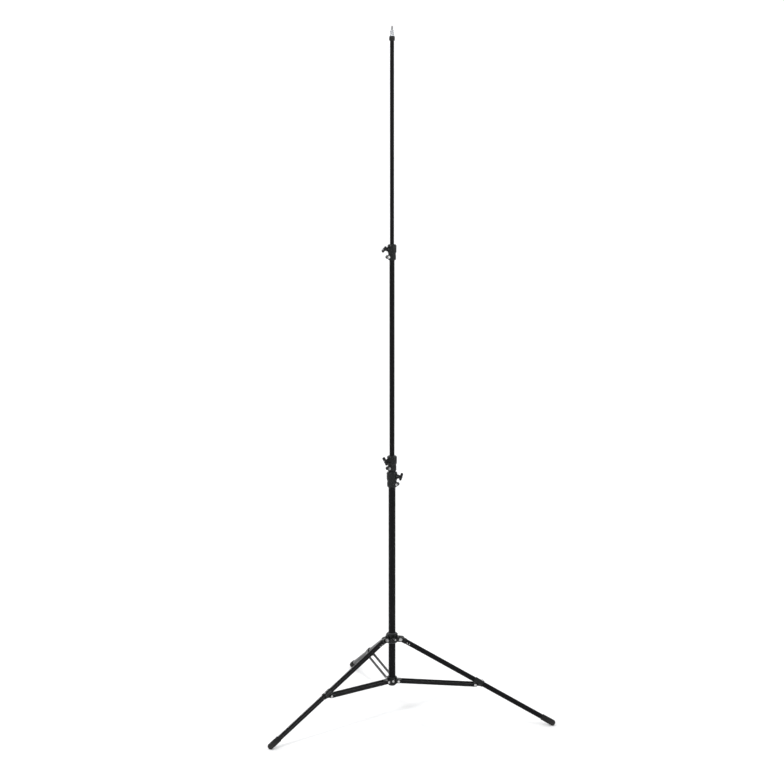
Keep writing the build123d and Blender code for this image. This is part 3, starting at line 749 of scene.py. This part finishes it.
# ------------------------------------------------------------------------ legs
# Along a leg, millimetres are from its hinge; along a foot, from the middle of its ball
BALL_HEIGHT = 11.42  # middle of a foot's ball above the floor
BALL_RADIUS = 12.0
BALL_TIP = 0.05  # radius of the flat left at the ball's end
TREAD_DEPTH, TREAD_COUNT = 0.25, 9
SLEEVE_START, SLEEVE_LENGTH = -41.0, 39.0
SLEEVE_RADIUS, SLEEVE_FLARE = 11.5, 0.3
RING_START, RING_END = -32.5, -7.5
RING_PITCH, RING_PROUD, RING_SHARPNESS = 5.0, 0.45, 0.7
RIVETS_ALONG = (30.0, 40.0)
BRACKET_RADIUS = 12.0
BRACKET_BEADS = (-11.6, 22.6)  # from the brace's pin


def leg_line(number):
    """A leg's hinge and the middle of its foot's ball."""
    pivot = Vector(JOINTS[f"leg_{number}_hinge"]["pos_m"])
    floor = Vector(MOUNTS[f"foot_{number}"]["pos_m"])
    return pivot, floor + Vector((0, 0, BALL_HEIGHT * MM))


def leg_frame(number):
    """Frame at a leg's hinge with z down the leg and x along the hinge."""
    pivot, ball = leg_line(number)
    return axis_frame(pivot, ball - pivot, JOINTS[f"leg_{number}_hinge"]["axis"])


def brace_pin(number):
    """Middle of the rivets that join a brace to its leg."""
    low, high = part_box(f"brace_rivets_{number}")
    return (low + high) / 2


def foot_profile(reach, rows=60, steps=15):
    """Lipped mouth, flared sleeve with soft rings, and a ball end with fine treads."""
    profile = [
        (10.0, reach - 46.0),
        (11.9, reach - 45.6),
        (12.3, reach - 44.4),
        (12.3, reach - 42.6),
        (11.6, reach - 41.4),
    ]
    for row in range(rows + 1):
        height = SLEEVE_START + SLEEVE_LENGTH * row / rows
        wave = 0.0
        if RING_START < height < RING_END:
            wave = max(0.0, cos(2 * pi * height / RING_PITCH)) ** RING_SHARPNESS
        radius = SLEEVE_RADIUS + SLEEVE_FLARE * row / rows + RING_PROUD * wave
        profile.append((radius, reach + height))
    for step in range(1, steps + 1):
        angle = 0.5 * pi * step / steps
        ball = BALL_RADIUS - TREAD_DEPTH * max(0.0, cos(TREAD_COUNT * angle))
        profile.append((ball * cos(angle) + BALL_TIP, reach + ball * sin(angle)))
    return profile


def build_foot(number):
    """Rubber foot, worn flat on the floor."""
    pivot, ball = leg_line(number)
    shape = Shape()
    shape.lathe(leg_frame(number), foot_profile((ball - pivot).length / MM), segments=56)
    for vertex in shape.vertices:
        vertex.z = max(vertex.z, 0.0)
    shape.piece(f"rubber_foot_{number}", f"leg_{number}", "rubber_black", f"foot_cap_{number}")


def build_leg_rivets(number):
    """Rivets that hold a leg's moulded end in its tube."""
    place = leg_frame(number)
    hinge, _, down = place.to_3x3().transposed()
    shape = Shape()
    for along in RIVETS_ALONG:
        spot = place @ Vector((0, 0, along * MM))
        for side in (1, -1):
            shape.dome(axis_frame(spot, side * hinge, down), radius=2.3, start=9.6, height=1.3)
    shape.piece(f"leg_rivets_{number}", f"leg_{number}", "steel")


def build_bracket_beads(number):
    """Beads round the two ends of a leg's bracket."""
    place = leg_frame(number)
    pin_along = (place.inverted() @ brace_pin(number)).z / MM
    shape = Shape()
    for offset in BRACKET_BEADS:
        shape.bead(place, BRACKET_RADIUS, pin_along + offset, thickness=1.1)
    shape.piece(f"bracket_beads_{number}", f"leg_{number}", "moulding_black")


# ---------------------------------------------------------------------- braces
STRIP_HALF_WIDTH = 6.5
STRIP_INNER, STRIP_OUTER = 12.5, 14.5  # a strip's faces from the middle of the pair
PRESSED_HEIGHT, PRESSED_HALF_WIDTH = 1.1, 3.6
PRESSED_INSET, PRESSED_RAMP = 16.0, 12.0  # from the strip's hinge, and the length it rises over
STRIP_LEAST = 0.15  # square of the half width left at the strip's very ends
STRIP_ROWS, STRIP_COLUMNS, END_STEPS = 60, 18, 9


def eased(share):
    """0 to 1 with a soft start and end."""
    return share * share * (3 - 2 * share)


def pressed(along, across, length):
    """Height of the stiffening bead pressed along a brace strip."""
    inset = min(along, length - along)
    ramp = min(1.0, max(0.0, (inset - PRESSED_INSET) / PRESSED_RAMP))
    ridge = max(0.0, 1 - (across / PRESSED_HALF_WIDTH) ** 2)
    return PRESSED_HEIGHT * eased(ramp) * eased(ridge)


def strip_section(place, along, length, side):
    """Section across one strip of a pair, its outer face first."""
    beyond = max(-along, along - length, 0.0)
    reach = max(STRIP_LEAST, STRIP_HALF_WIDTH**2 - beyond**2) ** 0.5
    ring = []
    for layer, order in ((STRIP_OUTER, 1), (STRIP_INNER, -1)):
        for column in range(STRIP_COLUMNS + 1):
            across = order * reach * (2 * column / STRIP_COLUMNS - 1)
            lift = pressed(along, across, length)
            ring.append(place @ (Vector((along, across, side * (layer + lift))) * MM))
    return ring


def build_brace(number):
    """Pair of flat strips, each with a pressed bead and rounded ends."""
    pin = brace_pin(number)
    pivot = Vector(JOINTS[f"brace_{number}_hinge"]["pos_m"])
    place = axis_frame(pivot, JOINTS[f"brace_{number}_hinge"]["axis"], pin - pivot)
    length = (pin - pivot).length / MM
    turns = [0.5 * pi * step / END_STEPS for step in range(END_STEPS + 1)]
    stops = [-STRIP_HALF_WIDTH * cos(turn) for turn in turns[:-1]]
    stops += [length * row / STRIP_ROWS for row in range(STRIP_ROWS + 1)]
    stops += [length + STRIP_HALF_WIDTH * sin(turn) for turn in turns[1:]]
    shape = Shape()
    for side in (1, -1):
        shape.skin([strip_section(place, along, length, side) for along in stops])
    shape.piece(f"brace_strips_{number}", f"brace_{number}", "strip_black", f"brace_{number}")


for number in (1, 2, 3):
    build_foot(number)
    build_leg_rivets(number)
    build_bracket_beads(number)
    build_brace(number)


# ------------------------------------------------------------- studio and camera
SWEEP_HALF_WIDTH = 40.0
SWEEP_FRONT, SWEEP_BACK = -40.0, 7.0
SWEEP_BEND, SWEEP_RISE = 3.0, 9.0
SWEEP_STEPS = 16
WORLD_COLOUR = (0.985, 0.99, 1.0, 1.0)
WORLD_STRENGTH = 1.05
LIGHT_AIM = Vector((0, 0, 1.2))


def build_sweep():
    """Floor that curves up into a backdrop a few metres behind the stand."""
    profile = [(SWEEP_FRONT, 0.0), (SWEEP_BACK, 0.0)]
    for step in range(1, SWEEP_STEPS + 1):
        turn = 0.5 * pi * step / SWEEP_STEPS
        profile.append((SWEEP_BACK + SWEEP_BEND * sin(turn), SWEEP_BEND * (1 - cos(turn))))
    profile.append((SWEEP_BACK + SWEEP_BEND, SWEEP_RISE))
    edges = (-SWEEP_HALF_WIDTH, SWEEP_HALF_WIDTH)
    vertices = [Vector((x, y, z)) for y, z in profile for x in edges]
    faces = [(2 * i, 2 * i + 1, 2 * i + 3, 2 * i + 2) for i in range(len(profile) - 1)]
    sweep = mesh_object("studio_sweep", vertices, faces)
    sweep.data.materials.append(sweep_paper())


def add_softbox(name, place, size, power):
    """Upright softbox that lights the stand and is not seen itself."""
    light = bpy.data.lights.new(name, "AREA")
    light.shape = "RECTANGLE"
    light.size, light.size_y = size
    light.energy = power
    lamp = bpy.data.objects.new(name, light)
    lamp.location = place
    lamp.rotation_euler = (LIGHT_AIM - Vector(place)).to_track_quat("-Z", "Y").to_euler()
    lamp.visible_camera = False
    bpy.context.scene.collection.objects.link(lamp)


def build_lights():
    """Even pale surroundings and three narrow softboxes for highlights along the tubes."""
    world = bpy.data.worlds.new("studio")
    world.use_nodes = True
    background = world.node_tree.nodes["Background"]
    background.inputs["Color"].default_value = WORLD_COLOUR
    background.inputs["Strength"].default_value = WORLD_STRENGTH
    bpy.context.scene.world = world
    add_softbox("key", place=(-3.2, -3.4, 4.0), size=(0.5, 2.8), power=120)
    add_softbox("fill", place=(4.0, -2.6, 2.6), size=(0.35, 3.0), power=60)
    add_softbox("back", place=(-2.6, 3.6, 3.6), size=(0.4, 2.6), power=90)


def build_camera():
    """Points at the middle of the stand's picture, upright, and fits its height in the frame."""
    low, high = CAD_BOX
    top_drop = atan2(CAMERA_HEIGHT - high[2], CAMERA_DISTANCE)
    foot_drop = atan2(CAMERA_HEIGHT - low[2], CAMERA_DISTANCE + low[1])
    half_view = FRAME_MARGIN * (foot_drop - top_drop) / 2
    pitch = (foot_drop + top_drop) / 2
    data = bpy.data.cameras.new("camera")
    data.sensor_width = SENSOR_WIDTH
    data.lens = SENSOR_WIDTH / 2 * FRAME_HEIGHT / FRAME_WIDTH / tan(half_view)
    data.clip_end = CAMERA_REACH
    camera = bpy.data.objects.new("camera", data)
    camera.location = (0, -CAMERA_DISTANCE, CAMERA_HEIGHT)
    camera.rotation_euler = (pi / 2 - pitch, 0, 0)
    bpy.context.scene.collection.objects.link(camera)
    bpy.context.scene.camera = camera


build_sweep()
build_lights()
build_camera()
bpy.context.scene.view_settings.view_transform = "Standard"
